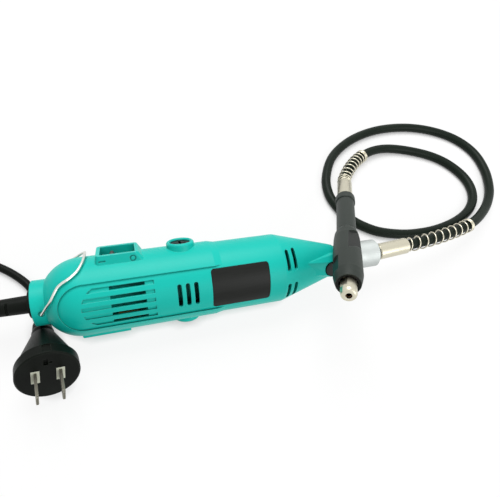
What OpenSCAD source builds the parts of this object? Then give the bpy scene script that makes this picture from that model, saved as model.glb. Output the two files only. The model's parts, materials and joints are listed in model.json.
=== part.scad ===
// Rotary tool with a flexible shaft: a mains grinder lying on a table, its flexible
// shaft screwed to the nose and looped back, and the slim handpiece leaning on the nut.
// The tool's own axis is X, from its cord end to its nose. The table top is z = 0.

/* [Motor housing] */
// Diameter of the motor housing
body_d = 47.5; // [47:0.5:48.5]
// Wall of the two housing shells
wall = 2.6; // [2.4:0.1:2.8]
// Diameter of the collar at the cord end
collar_d = 27; // [26.5:0.5:27.5]
// Turn of the tool about its axis as it lies on the table
tool_roll = 42.6; // [40:0.2:44]

/* [Motor] */
// Radius of the armature core
armature_r = 12.9; // [12:0.1:12.9]
// Air gap between armature and field core
air_gap = 0.4; // [0.4:0.1:0.8]
// Number of fan blades
fan_blades = 12; // [8:1:16]

/* [Switch] */
// Travel of the slide switch
switch_travel = 7; // [5:0.5:8]

/* [Spindle lock] */
// Diameter of the lock button
lock_d = 9.5; // [8.5:0.5:9.5]
// Travel of the lock button
lock_travel = 2.5; // [2:0.1:2.5]

/* [Flexible shaft] */
// Diameter of the rubber sheath
sheath_d = 7.8; // [7.4:0.1:7.8]
// Diameter of the coupling nut
nut_d = 19.5; // [19:0.1:19.6]
// Diameter of the nickel ferrules
ferrule_d = 11.8; // [11.4:0.1:12]
// Outside diameter of the bend springs
spring_d = 11.3; // [11.2:0.1:11.5]
// Wire of the bend springs
spring_wire = 1.1; // [1:0.05:1.1]
// Open curls of the spring at the tool
tool_curls = 9; // [8:1:10]
// Open curls of the spring at the handpiece
hand_curls = 10; // [9:1:11]

/* [Handpiece] */
// Diameter of the grip
grip_d = 18.4; // [17.6:0.2:18.4]
// Diameter of the slim sleeve behind the grip
sleeve_d = 13.5; // [13:0.1:13.8]
// Diameter of the tool bit that the collet takes
bit_d = 3.2; // [2.4:0.1:3.2]
// Rise of the handpiece towards its tip
hand_rise = 22.5; // [22.5:0.1:23]

/* [Power cord] */
// Diameter of the power cord
cord_d = 5.2; // [5:0.1:5.3]
// Distance between the plug's blades
blade_gap = 12.7; // [12:0.1:13]
// Turns in each layer of the stored coil
layer_turns = 3; // [2:1:3]

/* [Hidden] */
$fn = 64;

teal = [0.12, 0.74, 0.67];
black = [0.13, 0.14, 0.13];
grip_grey = [0.27, 0.30, 0.29];
rubber = [0.16, 0.20, 0.18];
nickel = [0.83, 0.81, 0.74];
steel = [0.65, 0.66, 0.68];
alloy = [0.88, 0.89, 0.90];
copper = [0.72, 0.42, 0.25];
brass = [0.80, 0.66, 0.36];
carbon = [0.20, 0.20, 0.21];

// A cut goes this far past a face, so that no thin skin is left
past = 0.5;

// ---- Frames -----------------------------------------------------------------
// The middle of the tool and handpiece, measured from the collar's rear face and
// the tool's axis, is the model's origin.
middle = [105, 15.5];
axis_z = body_d / 2;
hand_pos = [225, 52, 20];
hand_yaw = -118.6;
plug_pos = [6.2, -44.1, 23];
plug_tilt = 25.3;
plug_yaw = -79.8;
plug_roll = -14;

module on_table() {
    translate([-middle.x, -middle.y, 0]) children();
}

module on_tool() {
    on_table() translate([0, 0, axis_z]) rotate([-tool_roll, 0, 0]) children();
}

module on_hand() {
    on_table() translate(hand_pos) rotate([0, -hand_rise, hand_yaw]) children();
}

module on_plug() {
    on_table() translate(plug_pos) rotate([0, -plug_tilt, plug_yaw])
        rotate([plug_roll, 0, 0]) children();
}

// A profile drawn as [radius, x] is spun about the X axis
module spun() {
    rotate([90, 0, 90]) rotate_extrude() children();
}

// A round bar or tube along X
module bar(x0, x1, r, bore = 0) {
    spun() translate([bore, x0]) square([r - bore, x1 - x0]);
}

// An outline drawn as [x, z] reaches from y = from to y = to
module side_prism(from, to) {
    translate([0, to, 0]) rotate([90, 0, 0]) linear_extrude(to - from) children();
}

// A slot with round ends, from one end's centre to the other's
module slot_2d(a, b, width) {
    r = width / 2;
    v = b - a;
    translate(a) circle(r, $fn = 24);
    translate(b) circle(r, $fn = 24);
    translate(a) rotate(atan2(v.y, v.x)) translate([0, -r]) square([norm(v), width]);
}

function unit(v) = v / norm(v);
function sum(v, i = 0) = i >= len(v) ? 0 : v[i] + sum(v, i + 1);

// ---- Swept tubes ------------------------------------------------------------
// centres and the two cross directions of each ring give a closed tube of triangles;
// across x up points against the run
module swept(centres, across, up, r, sides) {
    last = len(centres) - 1;
    points = [
        for (i = [0:last]) for (k = [0:sides - 1])
            centres[i] + r * (cos(360 * k / sides) * across[i] + sin(360 * k / sides) * up[i])
    ];
    walls = [
        for (i = [0:last - 1]) for (k = [0:sides - 1])
            let (a = i * sides + k, b = i * sides + (k + 1) % sides)
                each [[a, b, b + sides], [a, b + sides, a + sides]]
    ];
    first_cap = [for (k = [1:sides - 2]) [0, k + 1, k]];
    end_cap = [for (k = [1:sides - 2]) [last * sides, last * sides + k, last * sides + k + 1]];
    polyhedron(points, concat(walls, first_cap, end_cap), convexity = 10);
}

// The run's direction at each ring, from its neighbours
function runs_at(c) = [
    for (i = [0:len(c) - 1]) unit(c[min(i + 1, len(c) - 1)] - c[max(i - 1, 0)])
];

// Cross directions of a tube that lies about level
function level_across(t) = [for (v = t) unit(cross(v, [0, 0, 1]))];
function level_up(t, across) = [for (i = [0:len(t) - 1]) cross(across[i], t[i])];

// A smooth curve through a route's points; its first and last points only steer it
function curve_point(p, i, t) = 0.5 * (
    2 * p[i]
    + (p[i + 1] - p[i - 1]) * t
    + (2 * p[i - 1] - 5 * p[i] + 4 * p[i + 1] - p[i + 2]) * t * t
    + (3 * p[i] - p[i - 1] - 3 * p[i + 1] + p[i + 2]) * t * t * t
);
curve_steps = 8;
function curve_of(p) = concat(
    [for (i = [1:len(p) - 3]) for (j = [0:curve_steps - 1]) curve_point(p, i, j / curve_steps)],
    [p[len(p) - 2]]
);
// Length along a fine curve up to each of its points
function lengths_of(c) = [
    for (i = 0, s = 0; i < len(c); s = s + norm(c[min(i + 1, len(c) - 1)] - c[i]), i = i + 1) s
];
// The point at length s along a fine curve
function along(c, lengths, s) =
    let (
        i = min(len([for (v = lengths) if (v <= s) 1]), len(c) - 1) - 1,
        step = lengths[i + 1] - lengths[i]
    )
    c[i] + (c[i + 1] - c[i]) * (s - lengths[i]) / step;

module cord_tube(route, d, spacing, sides) {
    fine = curve_of(route);
    lengths = lengths_of(fine);
    total = lengths[len(lengths) - 1];
    rings = ceil(total / spacing);
    centres = [for (i = [0:rings]) along(fine, lengths, total * i / rings)];
    // the end rings are square to the ends that the steering points give
    t = [
        for (i = [0:rings])
            i == 0 ? unit(route[2] - route[0])
            : i == rings ? unit(route[len(route) - 1] - route[len(route) - 3])
            : unit(centres[i + 1] - centres[i - 1])
    ];
    across = level_across(t);
    swept(centres, across, level_up(t, across), d / 2, sides);
}

// Least distance between parts of a wound line that lie at least skip rings apart
function least_gap(c, skip, d) = min([
    for (i = [0:len(c) - 1 - skip]) for (j = [i + skip:len(c) - 1]) norm(c[i] - c[j])
]) - d;

// ---- Housing ----------------------------------------------------------------
body_r = body_d / 2;
front_r = body_r - 0.95;
collar_r = collar_d / 2;
dome_x = 27.1;
step_x = 105.5;
cone_x = 150;
nose_x = 194;
nose_r = 10.6;
// Radius of the cone's outside at a place along the axis
function cone_r(x) = front_r - (x - cone_x) * 0.292;

// Outline of the housing as [radius, x], taken in by g
module housing_2d(g = 0) {
    intersection() {
        union() {
            translate([0, g]) square([collar_r - g, dome_x - g]);
            translate([0, dome_x]) circle(body_r - g, $fn = 120);
            translate([0, dome_x]) square([body_r - g, step_x - dome_x]);
            polygon([
                [0, step_x - 1], [body_r - g, step_x - 1], [body_r - g, step_x],
                [front_r - g, step_x + 4.5], [front_r - g, cone_x],
                [cone_r(nose_x - 4) - g, nose_x - 4], [nose_r - 0.4 - g, nose_x - 1.4],
                [nose_r - 2 - g, nose_x - g], [0, nose_x - g]
            ]);
        }
        square([body_r, nose_x]);
    }
}

brush_x = 88;
brush_tube_r = 8;
// Radius, height from the axis and rounding of the upper boss and of the lower one, which
// is flatter so that the body can touch the table beside it
boss_sizes = [[8.6, 27, 1.5], [8.4, 25.8, 2.5]];
cap_r = 6.2;
cap_top = 25.7;

// A boss that holds a brush cap, standing along +Z
module brush_boss(size) {
    r = size[0];
    top = size[1];
    edge = size[2];
    rotate_extrude() union() {
        square([r, top - edge]);
        square([r - edge, top]);
        translate([r - edge, top - edge]) circle(edge, $fn = 32);
    }
    cylinder(h = 22.8, r1 = r + 5, r2 = r - 0.3);
}

guard_x0 = 38;
guard_x1 = 62.2;
guard_y = 10.8;
guard_round = 2.5;
guard_top = 26.7;
pocket_x0 = 40.2;
pocket_x1 = 60.3;
pocket_y = 8.4;
pocket_floor = 20.6;

pad_x0 = 24;
pad_x1 = 52;
pad_y = 9;
pad_r = body_r + 1.4;

lock_x = 185;
lock_z = -1;
lock_y = -16;
lock_r = lock_d / 2;
bearing_x = 168;
rear_bearing_x = 72;
bail_x = 5.3;
bail_z = -1.9;
bail_wire = 1.6;

// What stands on the spun housing
module housing_extras() {
    for (side = [0, 1]) mirror([0, 0, side]) translate([brush_x, 0, 0])
        brush_boss(boss_sizes[side]);
    // guard round the switch, with rounded corners and both ends sloped, most at the front
    hull() for (end = [[15, 1.8, 6.4], [guard_top - 1, 0, 0]]) translate([0, 0, end[0]])
        linear_extrude(1) offset(r = guard_round)
            translate([guard_x0 - end[1] + guard_round, guard_round - guard_y])
                square([
                    guard_x1 - guard_x0 + end[1] + end[2] - 2 * guard_round,
                    2 * (guard_y - guard_round)
                ]);
    // pad under the rear of the body
    intersection() {
        bar(pad_x0, pad_x1, pad_r);
        translate([0, -pad_y, 0]) rotate([90, 0, 0]) translate([0, 0, -2 * pad_y])
            linear_extrude(2 * pad_y) polygon([
                [pad_x0, -15], [pad_x0, -body_r + 1], [pad_x0 + 3, -pad_r - 1],
                [pad_x1, -pad_r - 1], [pad_x1, -15]
            ]);
    }
    // block that carries the spindle lock: it grows out of the near side of the cone
    hull() {
        translate([186, 0, 0]) rotate([90, 0, 90]) linear_extrude(2.8) polygon([
            [-12.6, 8], [lock_y, 3.7], [lock_y, -5.8], [-12.6, -8], [0, -8], [0, 8]
        ]);
        // the end leaves room for the handpiece that leans beside it
        translate([191, 0, 0]) rotate([90, 0, 90]) linear_extrude(0.5) polygon([
            [-11.4, 6.2], [lock_y, 2.4], [lock_y, -5.8], [-12.6, -8], [0, -8], [0, 6.2]
        ]);
        translate([164.5, 0, 0]) rotate([90, 0, 90]) linear_extrude(0.5)
            polygon([[-17, 5.9], [-17, 5.3], [-15, -3], [0, -3], [0, 5.9]]);
    }
}

// The hollow inside, with its ribs and seats left standing
module cavity() {
    difference() {
        spun() intersection() {
            housing_2d(wall);
            translate([0, 3]) square([body_r, nose_x - 3 - 4]);
        }
        // seat of the rear bearing
        bar(rear_bearing_x - 1, rear_bearing_x + 6, body_r, 9.52);
        // seat of the front bearing
        bar(bearing_x - 1, bearing_x + 7, body_r, 11.02);
        // ring that the field core stands against
        bar(101, 103, body_r, 19);
        // floor of the switch pocket
        translate([guard_x0, -guard_y, 18.6]) cube([guard_x1 - guard_x0, 2 * guard_y, 10]);
        // tubes of the two brush holders, and the ring round the commutator between them
        for (side = [0, 1]) mirror([0, 0, side])
            translate([brush_x, 0, 10]) cylinder(h = 23, r = brush_tube_r);
        bar(80, 96.5, 13.2, 11.4);
        // middle wall behind the vents, with a rib at each end
        translate([41.5, 0.5, -11]) cube([24.5, 1.6, 18.5]);
        for (x = [41.5, 64.4]) translate([x, 0.5, -11]) cube([1.6, 24, 18.5]);
    }
}

screw_places = [[24, 13], [24, -13], [66, 17], [66, -17], [163.6, 13], [163.6, -13]];
screw_r = 1.4;
screw_head_r = 2.7;
screw_head_y = 4;

// Cuts that both shells share
module housing_cuts() {
    // cord opening
    bar(-past, 5, 7);
    // nose opening for the black ring
    bar(184, nose_x + past, 9.02);
    // pocket of the switch, and the slot for its stem
    translate([pocket_x0, -pocket_y, pocket_floor])
        cube([pocket_x1 - pocket_x0, 2 * pocket_y, 10]);
    translate([43.6, -2, 15]) cube([5.2 + switch_travel, 4, 10]);
    // bores for the brush caps and holders
    for (side = [0, 1]) mirror([0, 0, side]) translate([brush_x, 0, 0]) {
        translate([0, 0, 21]) cylinder(h = 10, r = cap_r + 0.1);
        // the rim is rounded inwards too
        translate([0, 0, boss_sizes[0][1] - 0.8]) cylinder(h = 1.6, r1 = cap_r + 0.1, r2 = cap_r + 1.7);
        translate([0, 0, 9]) cylinder(h = 15, r = 5.6);
    }
    // pivot holes of the bail
    translate([bail_x, 0, bail_z]) rotate([90, 0, 0])
        cylinder(h = 40, r = bail_wire / 2 + 0.1, center = true);
    for (side = [-1, 1]) translate([bail_x, side * 14, bail_z]) rotate([90, 0, 0])
        cylinder(h = 3.4, r = 1.8, center = true);
    for (side = [-1, 1]) side_cuts(side);
}

panel_depth = 0.9;
groove_depth = 0.8;
vent_gap = 5.05;
vent_width = 2.2;
// Where the vents go through the wall, and where their grooves end
vent_x0 = 43.5;
vent_x1 = 63.3;
groove_x1 = 68.5;
// Recessed panel, vents and slots on one side
module side_cuts(side) {
    mirror([0, side > 0 ? 1 : 0, 0]) {
        // recessed panel with a round rear end, which runs out where the body steps down
        difference() {
            side_prism(-30, -8) union() {
                translate([28.8, 0]) circle(14);
                translate([28.8, -14]) square([84, 28]);
            }
            spun() housing_2d(panel_depth);
            bar(100, 120, body_r - panel_depth);
        }
        // shallow grooves of the vents, their rear ends on a circle
        difference() {
            side_prism(-30, -8) intersection() {
                union() {
                    translate([40, 0]) circle(12.6);
                    translate([40, -12.6]) square([groove_x1 - 40, 25.2]);
                }
                union() for (i = [-2:2]) translate([20, i * vent_gap - vent_width / 2])
                    square([60, vent_width]);
            }
            spun() housing_2d(panel_depth + groove_depth);
        }
        for (i = [-2:2]) translate([vent_x0, -30, i * vent_gap - vent_width / 2])
            cube([vent_x1 - vent_x0, 18, vent_width]);
        for (x = [82.7, 87.7, 92.7])
            side_prism(-30, -12) slot_2d([x, -6.4], [x, 5.4], 2.6);
        for (x = [152.7, 157.8]) for (z = [[5.2, 15.2], [-14.9, -5.6]])
            side_prism(-30, -6) slot_2d([x, z[0]], [x, z[1]], 2.5);
    }
}

label_x0 = 102.3;
label_x1 = 139.2;
label_z = 12.4;
label_floor = front_r - 0.6;
module label_2d(grow = 0) {
    offset(r = 2 + grow) translate([label_x0 + 2, -label_z + 2])
        square([label_x1 - label_x0 - 4, 2 * label_z - 4]);
}

module screw_bosses(far) {
    for (p = screw_places) translate([p.x, 0, p.y]) rotate([far ? -90 : 90, 0, 0])
        cylinder(h = 22, r = far ? 4 : 3);
}

module shell_solid() {
    difference() {
        union() {
            spun() housing_2d();
            housing_extras();
        }
        cavity();
    }
}

// Off and on marks, engraved in the near wall of the guard
mark_depth = 0.7;
module switch_marks() {
    translate([39.5, -guard_y - past, 23]) cube([3.8, past + mark_depth, 0.8]);
    translate([58.8, -guard_y + mark_depth, 23.3]) rotate([90, 0, 0]) difference() {
        cylinder(h = past + mark_depth, r = 1.9);
        translate([0, 0, -1]) cylinder(h = 3, r = 1.15);
    }
}

// The bosses reach only to the inside of the wall
module inner_posts(far) {
    intersection() {
        union() {
            screw_bosses(far);
            if (far) for (z = [-7, 7]) translate([17, 0, z]) rotate([-90, 0, 0])
                cylinder(h = 22, r = 2.6);
        }
        spun() housing_2d(wall / 2);
    }
}

module near_housing() {
    color(teal) on_tool() difference() {
        union() {
            intersection() {
                shell_solid();
                translate([-1, -40, -40]) cube([nose_x + 2, 40, 80]);
            }
            intersection() {
                inner_posts(false);
                translate([-1, -40, -40]) cube([nose_x + 2, 40, 80]);
            }
        }
        housing_cuts();
        for (p = screw_places) translate([p.x, past, p.y]) rotate([90, 0, 0])
            cylinder(h = 8.5, r = screw_r, $fn = 32);
        // bed of the label plate
        difference() {
            side_prism(-30, -8) label_2d();
            spun() square([label_floor, nose_x]);
        }
        switch_marks();
        // stepped hole of the spindle lock
        translate([lock_x, -11, lock_z]) rotate([90, 0, 0]) cylinder(h = 10, r = lock_r + 0.3);
        translate([lock_x, 0, lock_z]) rotate([90, 0, 0]) cylinder(h = 14, r = 2.3, $fn = 32);
    }
}

module far_housing() {
    color(teal) on_tool() difference() {
        union() {
            intersection() {
                shell_solid();
                translate([-1, 0, -40]) cube([nose_x + 2, 40, 80]);
            }
            inner_posts(true);
        }
        housing_cuts();
        for (p = screw_places) translate([p.x, 0, p.y]) {
            translate([0, -past, 0]) rotate([-90, 0, 0])
                cylinder(h = 8, r = screw_r + 0.15, $fn = 32);
            translate([0, screw_head_y, 0]) rotate([-90, 0, 0])
                cylinder(h = 30, r = screw_head_r + 0.2, $fn = 32);
        }
        for (z = [-7, 7]) translate([17, -past, z]) rotate([-90, 0, 0])
            cylinder(h = 9, r = 1.2, $fn = 32);
    }
}

module housing_screws() {
    color(steel) on_tool() for (p = screw_places) translate([p.x, 0, p.y]) difference() {
        union() {
            translate([0, screw_head_y + 1.8, 0]) rotate([90, 0, 0])
                cylinder(h = 1.8, r = screw_head_r, $fn = 32);
            translate([0, screw_head_y + 0.5, 0]) rotate([90, 0, 0])
                cylinder(h = 11.5, r = screw_r, $fn = 32);
        }
        for (turn = [0, 90]) translate([0, screw_head_y + 1.8, 0]) rotate([0, turn, 0])
            cube([3, 1.6, 0.7], center = true);
    }
}

module label_plate() {
    color(black) on_tool() intersection() {
        side_prism(-30, -8) label_2d(-0.15);
        bar(label_x0, label_x1, front_r - 0.05, label_floor);
    }
}

// ---- Switch and what is near it ---------------------------------------------
module switch_slider() {
    color([0.36, 0.34, 0.31]) on_tool() {
        translate([41.4, -6, pocket_floor + 0.3]) cube([11, 12, 1.2]);
        side_prism(-4.5, 4.5) polygon([
            [44.2, pocket_floor + 1], [46.2, pocket_floor + 4.2], [47.6, pocket_floor + 4.2],
            [49.6, pocket_floor + 1]
        ]);
        translate([44.4, -1.6, 17.2]) cube([4, 3.2, 4.6]);
    }
}

module switch_body() {
    color(black) on_tool() difference() {
        translate([39, -7, 8]) cube([22, 14, 10.2]);
        translate([43.4, -3, 16.4]) cube([6 + switch_travel, 6, 3]);
    }
}

module suppressor() {
    color([0.75, 0.70, 0.30]) on_tool() translate([46, -6, -18]) cube([13, 12, 6]);
}

// ---- Brushes ----------------------------------------------------------------
module both_brushes() {
    for (side = [0, 1]) mirror([0, 0, side]) translate([brush_x, 0, 0]) children();
}

module brush_caps() {
    color(black) on_tool() both_brushes() difference() {
        union() {
            translate([0, 0, 22.4]) cylinder(h = cap_top - 22.4, r = cap_r);
            translate([0, 0, 19]) cylinder(h = 4, r = 4.6);
        }
        for (turn = [0, 90]) rotate(turn) translate([-4, -0.7, cap_top - 1.4])
            cube([8, 1.4, 3]);
    }
}

module brush_holders() {
    color(brass) on_tool() both_brushes() difference() {
        translate([0, 0, 10.5]) cylinder(h = 11.5, r = 5.5);
        translate([-3.1, -2.1, 9]) cube([6.2, 4.2, 20]);
        translate([0, 0, 18.9]) cylinder(h = 5, r = 4.7);
    }
}

module carbon_brushes() {
    color(carbon) on_tool() both_brushes()
        translate([-3, -2, commutator_r + 0.3]) cube([6, 4, 6]);
}

module brush_springs() {
    color(steel) on_tool() both_brushes() translate([0, 0, commutator_r + 6.3])
        difference() {
            cylinder(h = 19 - commutator_r - 6.3, r = 1.9);
            translate([0, 0, -1]) cylinder(h = 10, r = 1.4);
        }
}

// ---- Motor ------------------------------------------------------------------
core_x0 = 106;
core_x1 = 136;
core_r = front_r - wall - 0.1;
commutator_r = 9;
shaft_r = 4;
tail_r = 3;
running = 0.03;

module field_core() {
    color(steel) on_tool() difference() {
        bar(core_x0, core_x1, core_r, armature_r + air_gap);
        // windows for the coils leave a web at the outside
        for (side = [-1, 1]) translate([core_x0 - 1, side * 15.6 - 2.5, -7.2])
            cube([core_x1 - core_x0 + 2, 5, 14.4]);
    }
}

module field_coils() {
    color(copper) on_tool() for (side = [-1, 1])
        translate([core_x0 - 2.6, side * 15.7 - 2.1, -6.9])
            cube([core_x1 - core_x0 + 8, 4.2, 13.8]);
}

module motor_shaft() {
    color(steel) on_tool() {
        bar(68, 80.5, tail_r);
        bar(80, 182, shaft_r);
    }
}

module armature_core() {
    color(steel) on_tool() difference() {
        bar(core_x0, core_x1, armature_r, shaft_r);
        for (turn = [0:30:359]) rotate([turn, 0, 0])
            translate([core_x0 - 1, -0.9, armature_r - 2.2]) cube([core_x1 - core_x0 + 2, 1.8, 4]);
    }
}

module armature_windings() {
    color(copper) on_tool() {
        bar(97.5, core_x0, 11, shaft_r);
        bar(core_x1, 144, 11, shaft_r);
    }
}

module commutator() {
    color(copper) on_tool() difference() {
        bar(80.5, 97.4, commutator_r, shaft_r);
        for (turn = [0:30:359]) rotate([turn, 0, 0])
            translate([80, -0.25, commutator_r - 0.6]) cube([15, 0.5, 2]);
    }
}

module cooling_fan() {
    color(black) on_tool() {
        bar(146, 152, 6.5, shaft_r);
        bar(146, 147.2, 17.5, shaft_r);
        for (i = [0:fan_blades - 1]) rotate([360 * i / fan_blades, 0, 0])
            translate([147, -0.6, 6.2]) cube([5, 1.2, 11]);
    }
}

module rear_bearing() {
    color(steel) on_tool() bar(rear_bearing_x, rear_bearing_x + 6, 9.5, tail_r + running);
}

module front_bearing() {
    color(steel) on_tool() bar(bearing_x, bearing_x + 7, 11, shaft_r + running);
}

socket_r = 5.2;
module drive_socket() {
    color(steel) on_tool() difference() {
        bar(177, 208, socket_r);
        bar(176, 182, shaft_r);
        bar(196, 209, 1.6);
        // the lock pin drops into one of four cross holes
        for (turn = [0:90:270]) rotate([turn, 0, 0]) translate([lock_x, -2.4, lock_z])
            rotate([90, 0, 0]) cylinder(h = 5, r = 2.4, $fn = 32);
    }
}

// ---- Spindle lock -----------------------------------------------------------
lock_out = lock_y - 1.4;
module lock_button() {
    color(black) on_tool() translate([lock_x, 0, lock_z]) {
        translate([0, lock_out + 2.4, 0]) rotate([90, 0, 0]) cylinder(h = 2.4, r = lock_r);
        translate([0, -5.7, 0]) rotate([90, 0, 0])
            cylinder(h = -5.7 - lock_out - 2, r = 2, $fn = 32);
    }
}

// Drawn at its pressed length, so the button never reaches it
module lock_spring() {
    color(steel) on_tool() translate([lock_x, -11.1, lock_z]) rotate([90, 0, 0])
        difference() {
            cylinder(h = 1.1, r = 3.6);
            translate([0, 0, -1]) cylinder(h = 4, r = 2.5);
        }
}

// ---- Nose and bail ----------------------------------------------------------
module nose_ring() {
    color(black) on_tool() difference() {
        union() {
            bar(188, 196.9, 9);
            bar(196, 210, 7.8);
        }
        bar(187, 211, 6);
    }
}

// The bent wire, from the near pivot over the loop to the far pivot
bail_line = [
    [5.3, -14.4, -1.9], [6.7, -15.5, 0], [9.2, -17.2, 3.4], [12, -18.7, 7], [14.4, -18.7, 10.8],
    [16.7, -18, 14], [19.3, -17.6, 16], [22.3, -17.2, 17.5], [25.4, -16, 19.2],
    [28.2, -13.9, 21.2], [30.4, -9.4, 23.6], [31.5, -4.6, 25.4], [31.8, 0, 26.3],
    [31.5, 4.8, 25.9], [30.6, 9.6, 24.4], [28.2, 13.9, 22.4], [25.4, 16, 20.5],
    [22.3, 17.2, 18.6], [19.3, 17.6, 16.6], [16.7, 18, 14.2], [14.4, 18.7, 10.8],
    [12, 18.7, 7], [9.2, 17.2, 3.4], [6.7, 15.5, 0], [5.3, 14.4, -1.9]
];
module hanging_bail() {
    c = bail_line;
    t = runs_at(c);
    // a reference square to the plane of the loop, so that no stretch runs along it
    across = [for (v = t) unit(cross(v, [0.6, 0, -0.8]))];
    color(nickel) on_tool() {
        swept(c, across, [for (i = [0:len(t) - 1]) cross(across[i], t[i])], bail_wire / 2, 10);
        for (side = [-1, 1]) translate([bail_x, side * 13.2, bail_z]) rotate([90, 0, 0])
            cylinder(h = 3.4, r = bail_wire / 2, center = true, $fn = 24);
    }
}

// ---- Power cord end ---------------------------------------------------------
boot_x = -46;
cord_r = cord_d / 2;
module cord_boot() {
    color(black) on_tool() difference() {
        union() {
            spun() polygon([[0, boot_x], [4.3, boot_x], [5.4, -3], [6.7, -2.2], [6.7, 3.6], [0, 3.6]]);
            bar(-2.4, -0.1, 8.4);
            bar(3.1, 6.1, 9.4);
        }
        bar(boot_x - 1, 9, cord_r);
        // rib slots along both sides of the sleeve
        for (x = [boot_x + 6:5:-12]) for (side = [-1, 1])
            translate([x, side * 5.4 - 2, -4]) cube([1.6, 4, 8]);
    }
}

module cord_inner_end() {
    color(black) on_tool() bar(boot_x, 26, cord_r);
}

module cord_clamp() {
    color([0.8, 0.8, 0.78]) on_tool() difference() {
        translate([14, -5.8, -10]) cube([6, 5.6, 20]);
        bar(13, 21, cord_r);
        for (z = [-7, 7]) translate([17, 1, z]) rotate([90, 0, 0])
            cylinder(h = 8, r = 1.5, $fn = 32);
    }
}

module clamp_screws() {
    color(steel) on_tool() for (z = [-7, 7]) translate([17, 0, z]) {
        translate([0, -5.8, 0]) rotate([90, 0, 0]) cylinder(h = 1.8, r = 2.5, $fn = 32);
        translate([0, 7, 0]) rotate([90, 0, 0]) cylinder(h = 13, r = 1.2, $fn = 32);
    }
}

// ---- Flexible shaft ---------------------------------------------------------
nut_x0 = 197;
nut_x1 = 226.8;
nut_r = nut_d / 2;
ferrule_r = ferrule_d / 2;
ferrule_len = 26;
ferrule_yaw = 5.5;
ferrule_dip = 3;
sheath_r = sheath_d / 2;

module coupling_nut() {
    color(alloy) on_tool() difference() {
        spun() polygon([
            [0, nut_x0], [nut_r - 0.6, nut_x0], [nut_r, nut_x0 + 0.6], [nut_r, nut_x1 - 1],
            [nut_r - 1, nut_x1], [0, nut_x1]
        ]);
        bar(nut_x0 - 1, 216.2, 7.85);
        bar(216, nut_x1 + 1, 5.75);
    }
}

module cable_fitting() {
    color(steel) on_tool() difference() {
        union() {
            bar(213.6, 216.1, 7.4);
            bar(216, nut_x1 + 0.4, 5.7);
            // neck that the tilted ferrule sits on
            bar(nut_x1, nut_x1 + 4.4, 4.2);
        }
        bar(213, nut_x1 + 5.2, 2.4);
    }
}

module core_tip() {
    color(steel) on_tool() bar(197, 222, 1.55);
}

ferrule_start = [nut_x1 + 2.4, 0, axis_z];
ferrule_way = [
    cos(ferrule_dip) * cos(ferrule_yaw), cos(ferrule_dip) * sin(ferrule_yaw), -sin(ferrule_dip)
];
module tool_ferrule() {
    color(nickel) on_table() translate(ferrule_start) rotate([0, ferrule_dip, ferrule_yaw])
        difference() {
            union() {
                bar(0, ferrule_len, ferrule_r - 0.5);
                bar(0.5, ferrule_len - 0.5, ferrule_r);
            }
            bar(-1, ferrule_len - 8, 2.4);
            bar(-1, 3, 4.45);
        }
}

// Axis of the handpiece, and the rear face of its ferrule
hand_way = [
    cos(hand_rise) * cos(hand_yaw), cos(hand_rise) * sin(hand_yaw), sin(hand_rise)
];
hand_ferrule_len = 27.5;
cable_start = ferrule_start + ferrule_len * ferrule_way;
cable_end = hand_pos - hand_ferrule_len * hand_way;

// Route of the cable: down from the tool, once round at the right, under the
// handpiece, round again inside the first loop and up into the handpiece
cable_route = concat(
    [cable_start - 13 * ferrule_way, cable_start, cable_start + 12 * ferrule_way],
    [
        [282, 5.6, 20.9], [299, 9, 18.9], [317, 13.6, 16.2], [335, 20, 13.2], [351, 29, 10],
        [366, 40.5, 7.2], [380, 57, 5], [389, 79, 4], [389, 102, 3.9],
        [377, 121, 3.9], [355, 134, 3.9], [327, 140, 3.9], [295, 138, 3.9], [265, 127.5, 3.9],
        [241, 110, 3.9], [227, 88, 3.9], [223, 70, 3.9], [226, 55, 3.9], [232, 43.5, 3.9],
        [241, 34.5, 3.9], [254, 27, 3.9], [275, 22, 3.9], [297, 21.6, 3.9],
        [316, 24.6, 3.9], [333, 30, 3.9], [346.5, 37.5, 3.9], [356.5, 47.5, 3.9],
        [361.8, 59.5, 3.9], [362, 72, 3.9], [357, 84.5, 3.9], [347.5, 96, 3.9],
        [333, 105, 3.9], [313, 112, 4], [295, 114, 4.8],
        [279, 111, 5.8], [264, 104, 6], [251, 93.5, 6.4]
    ],
    [cable_end - 10 * hand_way, cable_end, cable_end + 13 * hand_way]
);
cable_fine = curve_of(cable_route);
cable_lengths = lengths_of(cable_fine);
cable_len = cable_lengths[len(cable_lengths) - 1];
echo(cable_len = cable_len);

module flex_cable() {
    color(rubber) on_table() cord_tube(cable_route, sheath_d, 10, 10);
}

// Centre line of a bend spring that leaves the cable's end at s = 0: a straight start
// on the ferrule, open curls, then two closed curls
curl_rings = 8;
closed_pitch = spring_wire + 0.6;
function spring_line(curls, pitch, from_end) =
    let (
        r = (spring_d - spring_wire) / 2,
        last = (curls + 2) * curl_rings,
        place = function(i) spring_wire + (
            i <= curls * curl_rings ? i * pitch / curl_rings
            : curls * pitch + (i - curls * curl_rings) * closed_pitch / curl_rings
        ),
        at = function(s, a)
            let (
                q = from_end ? cable_len - s : s,
                p = along(cable_fine, cable_lengths, q),
                ahead = along(cable_fine, cable_lengths, min(q + 0.6, cable_len - 0.01)),
                behind = along(cable_fine, cable_lengths, max(q - 0.6, 0)),
                t = unit(ahead - behind),
                across = unit(cross(t, [0, 0, 1])),
                up = cross(across, t)
            )
            [p + r * (cos(a) * across + sin(a) * up), cos(a) * across + sin(a) * up]
    )
    concat(
        [at(0.01, 0)],
        [for (i = [0:last]) at(place(i), 360 * i / curl_rings)]
    );

module bend_spring(line) {
    c = [for (p = line) p[0]];
    t = runs_at(c);
    out = [for (i = [0:len(t) - 1]) unit(line[i][1] - (line[i][1] * t[i]) * t[i])];
    swept(c, out, [for (i = [0:len(t) - 1]) cross(out[i], t[i])], spring_wire / 2, 6);
}

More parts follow.
